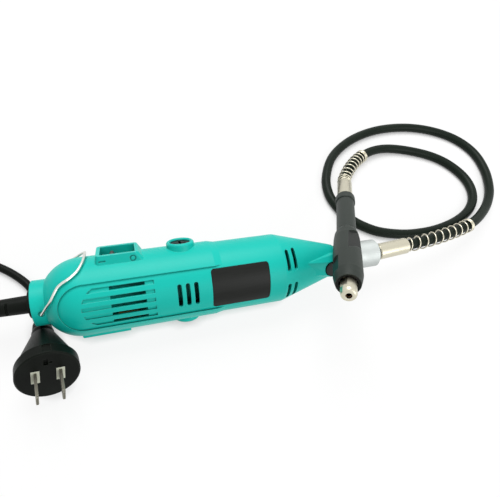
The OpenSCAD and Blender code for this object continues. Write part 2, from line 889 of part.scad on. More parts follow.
tool_line = spring_line(tool_curls, 7.65, false);
hand_line = spring_line(hand_curls, 4.3, true);
echo(tool_spring_gap = least_gap([for (p = tool_line) p[0]], 6, spring_wire));
echo(hand_spring_gap = least_gap([for (p = hand_line) p[0]], 6, spring_wire));

module tool_spring() {
    color(nickel) on_table() bend_spring(tool_line);
}

module hand_spring() {
    color(nickel) on_table() bend_spring(hand_line);
}

// ---- Handpiece, drawn along +X from the rear face of its cap -----------------
grip_r = grip_d / 2;
sleeve_r = sleeve_d / 2;
grip_x0 = 52;
grip_full = 61.5;
grip_x1 = 101.5;
mouth_x = 109.5;
tip_x = 120;
spindle_r = 3;

module hand_ferrule() {
    color(nickel) on_hand() difference() {
        union() {
            bar(-hand_ferrule_len, 0, ferrule_r - 0.5);
            bar(-hand_ferrule_len + 0.5, 0, ferrule_r);
        }
        bar(-hand_ferrule_len + 8, 1, 2.4);
    }
}

module hand_cap() {
    color(black) on_hand() difference() {
        spun() polygon([
            [0, 0], [6.9, 0], [7.5, 0.8], [7.5, 7.3], [6.9, 8], [0, 8]
        ]);
        bar(-1, 9, 2.6);
    }
}

module hand_sleeve() {
    color(grip_grey) on_hand() difference() {
        union() {
            bar(8, 9, sleeve_r - 0.7);
            bar(8.9, grip_x0, sleeve_r);
            bar(grip_x0 - past, 59, 6);
        }
        bar(7, 22, 2.6);
        bar(14, 60, 4.6);
    }
}

// Slanted flats where thumb and fingers rest: [angle, distance from the axis, start and
// end on one edge, start and end on the other]
grip_flats = [[-22, 7, 64, 84, 53, 75], [90, 7.9, 87, 102, 89, 103.5], [-142, 7, 64, 84, 53, 75]];
bore_r = 6.02;
module hand_grip() {
    color(grip_grey) on_hand() difference() {
        spun() polygon([
            [0, grip_x0], [sleeve_r - 0.1, grip_x0], [sleeve_r + 0.6, grip_x0 + 2],
            [sleeve_r + 1.4, grip_x0 + 4.4], [grip_r - 0.75, grip_full - 1.8],
            [grip_r - 0.5, grip_full + 0.6], [grip_r, 82], [grip_r, grip_x1],
            [grip_r - 0.6, grip_x1 + 4],
            [7.7, mouth_x], [0, mouth_x]
        ]);
        bar(grip_x0 - 1, 101, bore_r);
        bar(100, mouth_x + 1, 7.12);
        for (f = grip_flats) rotate([f[0], 0, 0]) translate([0, 0, f[1]])
            linear_extrude(4) polygon([[f[2], -7], [f[3], -7], [f[5], 7], [f[4], 7]]);
    }
}

module mouth_ring() {
    color(black) on_hand() difference() {
        bar(101.2, mouth_x - 0.3, 7.1);
        bar(100, mouth_x + 1, 5.8);
    }
}

module hand_spindle() {
    color(steel) on_hand() difference() {
        union() {
            bar(16, 95, spindle_r);
            bar(95, 104, 4.4);
            bar(66, 84, 4.4);
        }
        bar(103.2, 105, 3);
        bar(96, 104, 1.7);
    }
}

module spindle_rear_bearing() {
    color(steel) on_hand() bar(60, 65, bore_r - 0.02, spindle_r + running);
}

module spindle_front_bearing() {
    color(steel) on_hand() bar(86, 91, bore_r - 0.02, spindle_r + running);
}

module collet() {
    color(steel) on_hand() difference() {
        union() {
            bar(104, 116, 3.2);
            spun() polygon([[0, 116], [3.2, 116], [2.5, tip_x - 1.7], [0, tip_x - 1.7]]);
        }
        bar(103, tip_x, bit_d / 2);
        for (turn = [0, 90]) rotate([turn, 0, 0]) translate([109, -0.25, -5])
            cube([15, 0.5, 10]);
    }
}

module collet_nut() {
    color(nickel) on_hand() difference() {
        spun() polygon([
            [0, 104.4], [4.8, 104.4], [4.95, 105], [4.95, tip_x - 2.2], [4.7, tip_x - 1.1],
            [4.1, tip_x - 0.3], [3.3, tip_x], [0, tip_x]
        ]);
        bar(104, 116.05, 3.25);
        spun() polygon([[0, 116], [3.25, 116], [2.55, tip_x - 1.6], [0, tip_x - 1.6]]);
        bar(tip_x - 2, tip_x + 1, 2);
        for (side = [0, 180]) rotate([side + 60, 0, 0]) translate([106, -6, 4.3])
            cube([9, 12, 3]);
    }
}

// ---- Power cord, its stored coil and the plug --------------------------------
coil_pos = [-105, 31];
coil_in = 22.5;
turn_step = cord_d + 0.5;
coil_out = coil_in + layer_turns * turn_step;
tie_wall = 0.6;
low_z = tie_wall + cord_r;
high_z = low_z + cord_d + 0.5;
coil_rings = 24;

// The upper layer winds in, drops in half a turn, and the lower layer winds out
function coil_r(u) =
    u < layer_turns ? coil_out - turn_step * u
    : u > layer_turns + 0.5 ? coil_in + turn_step * (u - layer_turns - 0.5)
    : coil_in - 1.2 * sin(360 * (u - layer_turns));
function coil_z(u) =
    u < layer_turns ? high_z
    : u > layer_turns + 0.5 ? low_z
    : low_z + (high_z - low_z) * (1 + cos(360 * (u - layer_turns))) / 2;
coil_turns = 2 * layer_turns + 0.5;
coil_line = concat(
    [[coil_pos.x + cord_d, coil_pos.y - coil_out, high_z]],
    [
        for (i = [0:coil_turns * coil_rings])
            let (u = i / coil_rings, a = -90 - 360 * u)
                [coil_pos.x + coil_r(u) * cos(a), coil_pos.y + coil_r(u) * sin(a), coil_z(u)]
    ],
    [[coil_pos.x + cord_d, coil_pos.y + coil_out, low_z]]
);
echo(coil_gap = least_gap(coil_line, 12, cord_d));
echo(coil_len = sum([for (i = [1:len(coil_line) - 1]) norm(coil_line[i] - coil_line[i - 1])]));

module cord_coil() {
    t = concat([[-1, 0, 0]], [
        for (i = [1:len(coil_line) - 2]) unit(coil_line[i + 1] - coil_line[i - 1])
    ], [[1, 0, 0]]);
    across = level_across(t);
    color(black) on_table() swept(coil_line, across, level_up(t, across), cord_r, 6);
}

boot_route = [
    [boot_x + 8, 0, axis_z], [boot_x, 0, axis_z], [-54, 0, 23.3], [-64, -0.6, 20.8],
    [-75, -2.6, 16.6], [-87, -5.6, 12], [coil_pos.x + cord_d, coil_pos.y - coil_out, high_z],
    [-112, -8.6, high_z]
];
module boot_lead() {
    color(black) on_table() cord_tube(boot_route, cord_d, 11, 8);
}

plug_way = [
    cos(plug_tilt) * cos(plug_yaw), cos(plug_tilt) * sin(plug_yaw), sin(plug_tilt)
];
plug_len = 46;
plug_end = plug_pos - plug_len * plug_way;
plug_route = [
    [-112, coil_pos.y + coil_out, low_z], [coil_pos.x + cord_d, coil_pos.y + coil_out, low_z],
    [-86, 68, 2.9], [-72, 63.5, 2.6], [-58, 58, 2.6], [-43, 50.5, 2.6], [-30, 43, 2.6],
    [-18, 34, 2.6], [-8.5, 23.5, 2.6], [-4.2, 13, 2.6], [-2.1, 5, 2.8],
    plug_end, plug_pos - (plug_len - 11) * plug_way
];
module plug_lead() {
    color(black) on_table() cord_tube(plug_route, cord_d, 12, 8);
}

module cord_tie() {
    inner = [layer_turns * turn_step + 0.6, high_z + cord_r - tie_wall + 0.2];
    color(black) on_table() translate([coil_pos.x + (coil_in + coil_out) / 2 - 1.5, coil_pos.y + 4, 0])
        rotate([90, 0, 0]) linear_extrude(8) difference() {
            translate([-inner.x / 2 - tie_wall, 0])
                square([inner.x + 2 * tie_wall, inner.y + 2 * tie_wall]);
            translate([-inner.x / 2, tie_wall]) square(inner);
        }
}

rim_r = 16.8;
rim_len = 7;
module plug_body() {
    color(black) on_plug() difference() {
        spun() polygon([
            [0, 0], [rim_r - 0.8, 0], [rim_r, -0.8], [rim_r, -rim_len], [rim_r - 0.9, -rim_len - 0.6],
            [7, -31], [6.5, -32], [6.4, -34.5], [5.8, -37], [5.2, -42.4], [3.6, -plug_len],
            [0, -plug_len]
        ]);
        // ribs of the neck
        for (x = [-43:2.4:-37]) difference() {
            bar(x, x + 1, 8);
            bar(x - 1, x + 2, 4.3);
        }
        for (side = [-1, 1]) translate([-4, side * blade_gap / 2 - 2.2, -4.4])
            cube([5, 4.4, 8.8]);
        // keyway in the rim, and a slot in the face
        translate([-rim_len, -2.2, rim_r - 1]) cube([rim_len - 1.5, 4.4, 4]);
        translate([-1.5, -2.1, 7.8]) cube([3, 2.4, 4.4]);
        translate([-1, 1.6, 9.6]) rotate([0, 90, 0]) cylinder(h = 2, r = 0.8, $fn = 32);
    }
}

module blade_inserts() {
    color([0.80, 0.80, 0.76]) on_plug() for (side = [-1, 1]) difference() {
        translate([-4, side * blade_gap / 2 - 2.2, -4.4]) cube([4, 4.4, 8.8]);
        translate([-5, side * blade_gap / 2 - 0.75, -3.15]) cube([6, 1.5, 6.3]);
    }
}

module plug_blades() {
    color(brass) on_plug() for (side = [-1, 1])
        translate([-4, side * blade_gap / 2 - 0.75, -3.15]) {
            cube([19.5, 1.5, 6.3]);
            translate([19, 0.2, 0.5]) cube([1.5, 1.1, 5.3]);
        }
}

near_housing();
far_housing();
housing_screws();
label_plate();
switch_slider();
switch_body();
suppressor();
brush_caps();
brush_holders();
carbon_brushes();
brush_springs();
field_core();
field_coils();
motor_shaft();
armature_core();
armature_windings();
commutator();
cooling_fan();
rear_bearing();
front_bearing();
drive_socket();
lock_button();
lock_spring();
nose_ring();
hanging_bail();
cord_boot();
cord_inner_end();
cord_clamp();
clamp_screws();
coupling_nut();
core_tip();
cable_fitting();
tool_ferrule();
tool_spring();
flex_cable();
hand_spring();
hand_ferrule();
hand_cap();
hand_sleeve();
hand_grip();
mouth_ring();
hand_spindle();
spindle_rear_bearing();
spindle_front_bearing();
collet();
collet_nut();
boot_lead();
cord_coil();
plug_lead();
cord_tie();
plug_body();
plug_blades();
blade_inserts();
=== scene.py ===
# %% [markdown]
# # A rotary tool with a flexible shaft
#
# A mains grinder lies on a pale table. A flexible shaft is screwed to its nose, runs
# round in two loops, and ends in a slim handpiece that leans on the coupling nut.
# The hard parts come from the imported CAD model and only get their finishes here. This
# script adds what bends: the cable, the power cord, the bend springs, the wire bail and
# the strap round the stored cord.

# %% The frame, units and the parts' own axes
import json
import math

import bpy
from mathutils import Matrix, Quaternion, Vector


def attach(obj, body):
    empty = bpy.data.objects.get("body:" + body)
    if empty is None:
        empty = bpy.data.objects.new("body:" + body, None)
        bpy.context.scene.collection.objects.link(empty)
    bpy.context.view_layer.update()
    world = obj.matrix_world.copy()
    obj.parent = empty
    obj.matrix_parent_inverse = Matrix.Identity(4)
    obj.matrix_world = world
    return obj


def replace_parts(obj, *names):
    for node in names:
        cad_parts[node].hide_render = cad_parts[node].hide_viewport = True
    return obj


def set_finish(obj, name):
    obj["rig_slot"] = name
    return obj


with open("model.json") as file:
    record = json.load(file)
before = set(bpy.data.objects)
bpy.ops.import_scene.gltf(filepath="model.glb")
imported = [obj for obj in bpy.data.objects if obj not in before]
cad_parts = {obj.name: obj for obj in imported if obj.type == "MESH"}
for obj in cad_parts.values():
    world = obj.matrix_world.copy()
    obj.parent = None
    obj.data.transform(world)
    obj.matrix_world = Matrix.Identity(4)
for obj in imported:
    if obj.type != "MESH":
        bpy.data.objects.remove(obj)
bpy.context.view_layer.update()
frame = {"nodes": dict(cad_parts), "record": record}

MM = 0.001
# The collar's rear face and the tool's axis are x = 0 and y = 0 of the drawing
MIDDLE = Vector((105, 15.5, 0))
AXIS_Z = 23.75
TOOL_ROLL = 42.6


def on_table(x, y, z):
    """A point of the drawing, in millimetres, as a place in metres."""
    return (Vector((x, y, z)) - MIDDLE) * MM


def turned(place, yaw=0.0, tilt=0.0, roll=0.0):
    """The drawing's way to place a part: roll about X, tilt about Y, then yaw about Z."""
    return (
        Matrix.Translation(on_table(*place))
        @ Matrix.Rotation(math.radians(yaw), 4, "Z")
        @ Matrix.Rotation(math.radians(tilt), 4, "Y")
        @ Matrix.Rotation(math.radians(roll), 4, "X")
    )


TOOL_AXES = turned((0, 0, AXIS_Z), roll=-TOOL_ROLL)


def on_tool(x, y, z):
    """A point on the tool, measured from its own axis."""
    return TOOL_AXES @ (Vector((x, y, z)) * MM)


# %% [markdown]
# ## The camera
#
# It looks down on the table from above the cord end, close enough that the tool's rear
# is larger than its tip. A place, a point to aim at and a roll say all of that, and
# each can be changed without touching the others.

# %% Camera
CAMERA_AT = Vector((-46.0, -138.8, 274.2)) * MM
CAMERA_AIM = Vector((39.3, 15.0, 0)) * MM
CAMERA_ROLL = 17.3
CAMERA_LENS = 31.0

camera = bpy.data.objects.new("camera", bpy.data.cameras.new("camera"))
bpy.context.scene.collection.objects.link(camera)
camera.data.lens = CAMERA_LENS
camera.data.clip_start = 0.01
camera.data.clip_end = 20
camera.location = CAMERA_AT
camera.rotation_mode = "QUATERNION"
camera.rotation_quaternion = (CAMERA_AIM - CAMERA_AT).to_track_quat("-Z", "Y") @ Quaternion(
    (0, 0, 1), math.radians(CAMERA_ROLL)
)
bpy.context.scene.camera = camera
print("camera is", round((CAMERA_AIM - CAMERA_AT).length, 3), "m from its aim")

# %% [markdown]
# ## Round wire and cable
#
# Cable, cord, spring and bail are all one round section along a line. A Bezier curve
# with a bevel gives that, and stays a curve whose length can be measured. Handles a
# sixth of the way between a point's neighbours pass smoothly through every point.


# %% A helper for round runs
def round_run(name, points, diameter, sides=4, steps=6):
    """A round cable through points in metres. The first and last points only steer it."""
    data = bpy.data.curves.new(name, "CURVE")
    data.dimensions = "3D"
    # the bevel is one unit deep and each knot's own radius sets the real size, because
    # Blender measures a curve's box with the knots' radius and not with the bevel
    data.bevel_depth = 1.0
    data.bevel_resolution = sides
    data.resolution_u = steps
    data.use_fill_caps = True
    spline = data.splines.new("BEZIER")
    spline.bezier_points.add(len(points) - 3)
    for k, knot in enumerate(spline.bezier_points):
        lean = (points[k + 2] - points[k]) / 6
        knot.co = points[k + 1]
        knot.handle_left_type = knot.handle_right_type = "FREE"
        knot.handle_left = points[k + 1] - lean
        knot.handle_right = points[k + 1] + lean
        knot.radius = diameter / 2
    run = bpy.data.objects.new(name, data)
    bpy.context.scene.collection.objects.link(run)
    return run


# %% [markdown]
# ## The flexible shaft
#
# A steel rope turns inside a rubber sheath 7.8 mm thick. The sheath is stiff, so it
# lies in wide loops: down from the tool, once round, under the handpiece, and round
# again inside the first loop. Its route is the same list of places as in the drawing.

# %% Cable
CABLE_D = 7.8 * MM
FERRULE_START = on_table(229.2, 0, AXIS_Z)
FERRULE_LEN = 26 * MM
FERRULE_TURN, FERRULE_RISE = 5.5, -3
HAND_AT = (225, 52, 20)
HAND_TURN, HAND_RISE = -118.6, 22.5
HAND_FERRULE_LEN = 27.5 * MM
# how far inside its ferrule each steering point lies, and how far out each first knot
STEER = 13 * MM
TOOL_LEAD = 12 * MM
HAND_LEAD = 10 * MM


def pointing(yaw, rise):
    """A unit vector from its turn on the table and its rise above it, in degrees."""
    yaw, rise = math.radians(yaw), math.radians(rise)
    return Vector((math.cos(rise) * math.cos(yaw), math.cos(rise) * math.sin(yaw), math.sin(rise)))


ferrule_way = pointing(FERRULE_TURN, FERRULE_RISE)
hand_way = pointing(HAND_TURN, HAND_RISE)
cable_start = FERRULE_START + FERRULE_LEN * ferrule_way
cable_end = on_table(*HAND_AT) - HAND_FERRULE_LEN * hand_way
CABLE_ROUTE = [
    (282, 5.6, 20.9), (299, 9, 18.9), (317, 13.6, 16.2), (335, 20, 13.2), (351, 29, 10),
    (366, 40.5, 7.2), (380, 57, 5), (389, 79, 4), (389, 102, 3.9),
    (377, 121, 3.9), (355, 134, 3.9), (327, 140, 3.9), (295, 138, 3.9), (265, 127.5, 3.9),
    (241, 110, 3.9), (227, 88, 3.9), (223, 70, 3.9), (226, 55, 3.9), (232, 43.5, 3.9),
    (241, 34.5, 3.9), (254, 27, 3.9), (275, 22, 3.9), (297, 21.6, 3.9),
    (316, 24.6, 3.9), (333, 30, 3.9), (346.5, 37.5, 3.9), (356.5, 47.5, 3.9),
    (361.8, 59.5, 3.9), (362, 72, 3.9), (357, 84.5, 3.9), (347.5, 96, 3.9),
    (333, 105, 3.9), (313, 112, 4), (295, 114, 4.8),
    (279, 111, 5.8), (264, 104, 6), (251, 93.5, 6.4),
]  # fmt: skip
cable_points = [
    cable_start - STEER * ferrule_way,
    cable_start,
    cable_start + TOOL_LEAD * ferrule_way,
    *[on_table(*place) for place in CABLE_ROUTE],
    cable_end - HAND_LEAD * hand_way,
    cable_end,
    cable_end + STEER * hand_way,
]
cable = round_run("flex_cable_sheath", cable_points, CABLE_D, sides=8, steps=8)


# %% Places along the cable, which the springs need
def smooth_line(points, steps):
    """Points along the curve that round_run draws through the same points."""
    line = []
    for k in range(1, len(points) - 2):
        a, b = points[k], points[k + 1]
        from_a, to_b = (b - points[k - 1]) / 6, (points[k + 2] - a) / 6
        knots = [a, a + from_a, b - to_b, b]
        for step in range(steps):
            t = step / steps
            line.append(
                (1 - t) ** 3 * knots[0]
                + 3 * (1 - t) ** 2 * t * knots[1]
                + 3 * (1 - t) * t**2 * knots[2]
                + t**3 * knots[3]
            )
    line.append(points[-2])
    return line


class Measured:
    """A line whose points can be found by their distance from its start."""

    def __init__(self, line):
        self.line = line
        self.far = [0.0]
        for a, b in zip(line, line[1:]):
            self.far.append(self.far[-1] + (b - a).length)
        self.length = self.far[-1]

    def at(self, distance):
        distance = min(max(distance, 0.0), self.length)
        k = next(i for i in range(1, len(self.far)) if self.far[i] >= distance)
        share = (distance - self.far[k - 1]) / (self.far[k] - self.far[k - 1])
        return self.line[k - 1].lerp(self.line[k], share)


cable_line = Measured(smooth_line(cable_points, 8))
print("flexible shaft:", round(cable_line.length * 1000), "mm between its ferrules")

# %% [markdown]
# ## Bend springs
#
# Both ends of the sheath carry a nickel-plated spring, so that the sheath can't kink
# where it leaves the ferrule. The wire winds round the cable's own line: at each step
# it goes a little further along the cable and a little further round it. The last
# curls lie side by side, as on the real spring, and read as a solid ring.

# %% Springs
SPRING_D = 11.3 * MM
SPRING_WIRE = 1.1 * MM
CLOSED_CURLS = 3
CLOSED_GAP = 0.08 * MM
CURL_POINTS = 16
# how far ahead and behind the cable's direction is read
LOOK = 0.6 * MM


def bend_spring(name, curls, pitch, from_end):
    """A spring that starts at one end of the cable and winds along it."""
    radius = (SPRING_D - SPRING_WIRE) / 2
    closed_pitch = SPRING_WIRE + CLOSED_GAP
    total = curls + CLOSED_CURLS
    wound = []
    for k in range(-1, total * CURL_POINTS + 2):
        turns = k / CURL_POINTS
        beyond = max(turns - curls, 0.0)
        place = SPRING_WIRE + min(turns, curls) * pitch + beyond * closed_pitch
        if from_end:
            place = cable_line.length - place
        run = (cable_line.at(place + LOOK) - cable_line.at(place - LOOK)).normalized()
        across = run.cross(Vector((0, 0, 1))).normalized()
        angle = 2 * math.pi * turns
        outward = math.cos(angle) * across + math.sin(angle) * across.cross(run)
        wound.append(cable_line.at(place) + radius * outward)
    return round_run(name, wound, SPRING_WIRE, sides=3, steps=2)


tool_spring = bend_spring("tool_bend_spring", curls=9, pitch=7.65 * MM, from_end=False)
hand_spring = bend_spring("hand_bend_spring", curls=10, pitch=4.3 * MM, from_end=True)
for spring, node in ((tool_spring, "tool_spring"), (hand_spring, "hand_spring")):
    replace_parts(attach(spring, "tool"), node)
    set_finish(spring, "nickel")
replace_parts(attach(cable, "tool"), "flex_cable")
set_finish(cable, "sheath_rubber")
print("springs wound:", [len(s.data.splines[0].bezier_points) for s in (tool_spring, hand_spring)])

# %% [markdown]
# ## The power cord
#
# The cord leaves the boot, goes out of view, and comes back under the tool's rear to
# the plug. What lies between is put away as a neat coil of two layers, held by a strap:
# the upper layer winds in, drops half a turn to the table, and the lower layer winds
# out again. The coil is worked out by a loop; the two free runs are given as places.

# %% Cord
CORD_D = 5.2
BOOT_X = -46
COIL_AT = (-105, 31)
COIL_IN = 22.5
LAYER_TURNS = 3
TURN_GAP = 0.5
TURN_STEP = CORD_D + TURN_GAP
COIL_OUT = COIL_IN + LAYER_TURNS * TURN_STEP
# how far the turn that changes layers is drawn in
DROP_IN = 1.2
STRAP_WALL = 0.6
LOW_Z = STRAP_WALL + CORD_D / 2
HIGH_Z = LOW_Z + CORD_D + TURN_GAP
RING_POINTS = 24

coil_places = []
for step in range(1, int((2 * LAYER_TURNS + 0.5) * RING_POINTS)):
    turn = step / RING_POINTS
    if turn < LAYER_TURNS:
        reach, height = COIL_OUT - TURN_STEP * turn, HIGH_Z
    elif turn <= LAYER_TURNS + 0.5:
        drop = 2 * math.pi * (turn - LAYER_TURNS)
        reach = COIL_IN - DROP_IN * math.sin(drop)
        height = LOW_Z + (HIGH_Z - LOW_Z) * (1 + math.cos(drop)) / 2
    else:
        reach, height = COIL_IN + TURN_STEP * (turn - LAYER_TURNS - 0.5), LOW_Z
    angle = math.radians(-90 - 360 * turn)
    coil_places.append(
        (COIL_AT[0] + reach * math.cos(angle), COIL_AT[1] + reach * math.sin(angle), height)
    )

FROM_BOOT = [(-54, 0, 23.3), (-64, -0.6, 20.8), (-75, -2.6, 16.6), (-87, -5.6, 12)]
COIL_ENTRY = (COIL_AT[0] + CORD_D, COIL_AT[1] - COIL_OUT, HIGH_Z)
COIL_EXIT = (COIL_AT[0] + CORD_D, COIL_AT[1] + COIL_OUT, LOW_Z)
TO_PLUG = [
    (-86, 68, 2.9), (-72, 63.5, 2.6), (-58, 58, 2.6), (-43, 50.5, 2.6), (-30, 43, 2.6),
    (-18, 34, 2.6), (-8.5, 23.5, 2.6), (-4.2, 13, 2.6), (-2.1, 5, 2.8),
]  # fmt: skip
PLUG_AT = (6.2, -44.1, 23)
PLUG_TURN, PLUG_RISE = -79.8, 25.3
PLUG_LEN = 46 * MM
# how far inside the boot and the plug the steering points lie
BOOT_STEER = 8
PLUG_STEER = 11 * MM
plug_way = pointing(PLUG_TURN, PLUG_RISE)
plug_end = on_table(*PLUG_AT) - PLUG_LEN * plug_way
boot_exit = on_table(BOOT_X, 0, AXIS_Z)
cord_points = [
    on_table(BOOT_X + BOOT_STEER, 0, AXIS_Z),
    boot_exit,
    *[on_table(*place) for place in [*FROM_BOOT, COIL_ENTRY, *coil_places, COIL_EXIT, *TO_PLUG]],
    plug_end,
    plug_end + PLUG_STEER * plug_way,
]
cord = round_run("power_cord", cord_points, CORD_D * MM, sides=6, steps=4)
cord_line = Measured(smooth_line(cord_points, 8))
print("power cord:", round(cord_line.length, 3), "m outside its boot and plug")

# %% [markdown]
# ## The strap
#
# A hook-and-loop strap holds the coil. It is a band that goes once round both layers,
# hugging the outer turns with round corners, and its end lies over its start.


# %% Strap
STRAP_WIDTH = 8.0
STRAP_HEM = 0.5
STRAP_CORNER = 3.2
STRAP_ROOM = 0.6
STRAP_PLAY = 0.1
TAIL_POINTS = 6
# on the strap's side the spiral lies about a quarter of a step further in
SPIRAL_DRIFT = 1.5


def strap_outline(half_width, height, corner, arc_steps=6):
    """Points of an upright rounded rectangle, from the middle of its top and once round."""
    places = [(0.0, height)]
    corners = [(1, 1, 90), (1, 0, 0), (0, 0, -90), (0, 1, -180)]
    for right, top, start in corners:
        cx = (half_width - corner) * (1 if right else -1)
        cz = height - corner if top else corner
        for step in range(arc_steps + 1):
            a = math.radians(start - 90 * step / arc_steps)
            places.append((cx + corner * math.cos(a), cz + corner * math.sin(a)))
    return places + [(0.0, height)]


def make_strap():
    """The band round the coil, a sheet with a thickness, in its place on the table."""
    half = (LAYER_TURNS * TURN_STEP + STRAP_ROOM) / 2 + STRAP_WALL / 2
    top = HIGH_Z + CORD_D / 2 + STRAP_WALL / 2 + STRAP_PLAY / 2
    bottom = STRAP_WALL / 2
    outline = strap_outline(half, top - bottom, STRAP_CORNER)
    ring = [(x, z + bottom) for x, z in outline]
    # the loose end goes on over the top and ends part way down the outer side
    lift = STRAP_WALL + STRAP_PLAY
    tail = [(x + lift / 2 * (x > 0), z + bottom + lift) for x, z in outline[1:TAIL_POINTS]]
    edge = STRAP_WIDTH / 2
    rows = [-edge, -edge + STRAP_HEM, 0, edge - STRAP_HEM, edge]
    middle_x = COIL_AT[0] + (COIL_IN + COIL_OUT) / 2 - SPIRAL_DRIFT
    line = ring + tail
    verts = [on_table(middle_x + x, COIL_AT[1] + y, z) for x, z in line for y in rows]
    n = len(rows)
    faces = [
        (k * n + j, k * n + j + 1, (k + 1) * n + j + 1, (k + 1) * n + j)
        for k in range(len(line) - 1)
        for j in range(n - 1)
    ]
    mesh = bpy.data.meshes.new("cord_strap")
    mesh.from_pydata([tuple(v) for v in verts], [], faces)
    mesh.shade_smooth()
    strap = bpy.data.objects.new("cord_strap", mesh)
    bpy.context.scene.collection.objects.link(strap)
    thick = strap.modifiers.new("thickness", "SOLIDIFY")
    thick.thickness = STRAP_WALL * MM
    thick.offset = 0
    return strap


strap = make_strap()
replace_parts(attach(strap, "tool"), "cord_tie")
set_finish(strap, "cord_rubber")
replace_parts(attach(cord, "tool"), "boot_lead", "cord_coil", "plug_lead")
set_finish(cord, "cord_rubber")
print("strap has", len(strap.data.polygons), "faces")

# %% [markdown]
# ## The hanging bail
#
# A bent steel wire, 1.6 mm thick and bright from its drawing, is hinged in two holes in
# the collar. From each hole it goes up past a kink and over the dome. It has been bent
# by hand and by use, so its two legs differ a little, and the whole line is listed from
# the near pivot to the far one.

# %% Bail
BAIL_WIRE = 1.6 * MM
BAIL_LINE = [
    (5.3, -14.4, -1.9), (6.7, -15.5, 0), (9.2, -17.2, 3.4), (12, -18.7, 7), (14.4, -18.7, 10.8),
    (16.7, -18, 14), (19.3, -17.6, 16), (22.3, -17.2, 17.5), (25.4, -16, 19.2),
    (28.2, -13.9, 21.2), (30.4, -9.4, 23.6), (31.5, -4.6, 25.4), (31.8, 0, 26.3),
    (31.5, 4.8, 25.9), (30.6, 9.6, 24.4), (28.2, 13.9, 22.4), (25.4, 16, 20.5),
    (22.3, 17.2, 18.6), (19.3, 17.6, 16.6), (16.7, 18, 14.2), (14.4, 18.7, 10.8),
    (12, 18.7, 7), (9.2, 17.2, 3.4), (6.7, 15.5, 0), (5.3, 14.4, -1.9),
]  # fmt: skip
near_pin = [(5.3, -9, -1.9), (5.3, -11.7, -1.9)]
far_pin = [(x, -y, z) for x, y, z in reversed(near_pin)]
bail_points = [on_tool(*place) for place in [*near_pin, *BAIL_LINE, *far_pin]]
bail = round_run("bail_wire", bail_points, BAIL_WIRE, steps=5)
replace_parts(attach(bail, "bail"), "hanging_bail")
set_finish(bail, "nickel")
print("bail wire drawn through", len(bail.data.splines[0].bezier_points), "points")

# %% [markdown]
# ## Helpers for the finishes
#
# Colours are written as hex values, as a paint chart gives them, and one function turns
# them to the linear values that Blender mixes. Pattern sizes are written in millimetres.
# One function adds a node, sets its options and fills or links its sockets.


# %% Colours, sizes and nodes
def linear(colour):
    """A hex colour as linear red, green, blue and a full alpha."""
    parts = [int(colour[k : k + 2], 16) / 255 for k in (1, 3, 5)]
    return (*[c / 12.92 if c <= 0.04045 else ((c + 0.055) / 1.055) ** 2.4 for c in parts], 1.0)


def per(size_mm):
    """The texture scale whose features are about that many millimetres across."""
    return 1 / (size_mm * MM)


def add(material, kind, inputs=None, **options):
    """Adds one shader node. An input may be a value or another node's output."""
    tree = material.node_tree
    node = tree.nodes.new("ShaderNode" + kind)
    for name, value in options.items():
        setattr(node, name, value)
    for name, value in (inputs or {}).items():
        if isinstance(value, bpy.types.NodeSocket):
            tree.links.new(value, node.inputs[name])
        else:
            node.inputs[name].default_value = value
    return node


def blank(name):
    """A material with no nodes yet."""
    material = bpy.data.materials.new(name)
    material.use_nodes = True
    material.node_tree.nodes.clear()
    return material


def finish_with(material, shader):
    """Shows a shader on the surface."""
    add(material, "OutputMaterial", {"Surface": shader.outputs["BSDF"]})
    return material


# Sockets of the Mix node when it mixes colours
MIX_A, MIX_B, MIX_COLOUR = 6, 7, 2

# %% [markdown]
# ## Edges: wear and painted highlight
#
# Every handled thing shows its edges: moulds and tools leave them slightly round, and
# hands polish them. The Bevel node rounds the shading there. Where its normal turns
# away from the flat face's own normal there is an edge, and that gives a mask for glossier
# edges with a paler colour, which is partly wear and partly a painted highlight.


# %% Edge mask
def edge_wear_and_highlight(material, rounded):
    """1 along edges and 0 on the faces between them, from a Bevel node's output."""
    face = add(material, "NewGeometry").outputs["Normal"]
    both = {0: rounded.outputs["Normal"], 1: face}
    agree = add(material, "VectorMath", both, operation="DOT_PRODUCT")
    return add(
        material,
        "MapRange",
        {"Value": agree.outputs["Value"], "From Min": 0.998, "From Max": 0.93},
    ).outputs["Result"]


# %% [markdown]
# ## Painted corner shade, and the grip's flats
#
# Corners and pockets of a moulding get painted shade: an Ambient Occlusion node that
# only looks at its own piece darkens the colour where the piece hides the sky close by.
# The grip's flats are drawn in a darker colour than the grain round them. A point is on
# a flat if it lies in its plane and faces the same way.


# %% Painted corner shade and the grip's flats
SHADE_REACH = 20 * MM


def with_painted_shade(material, tone):
    """A colour with painted shade: darker where the piece itself hides the sky close by."""
    open_sky = add(
        material, "AmbientOcclusion", {"Distance": SHADE_REACH}, samples=8, only_local=True
    )
    level = add(
        material,
        "MapRange",
        {"Value": open_sky.outputs["AO"], "From Min": 0.15, "From Max": 0.55, "To Min": 0.3},
    )
    mixed = {0: 1.0, MIX_A: tone, MIX_B: level.outputs["Result"]}
    return add(material, "Mix", mixed, data_type="RGBA", blend_type="MULTIPLY").outputs[MIX_COLOUR]


HAND_AXES = turned(HAND_AT, yaw=HAND_TURN, tilt=-HAND_RISE)
GRIP_FLATS = [(-22, 7.0), (90, 7.9), (-142, 7.0)]
# how near its plane a point of a flat lies, and how well it faces the flat's way
FLAT_DEPTH = 0.15 * MM
FLAT_FACING = 0.985


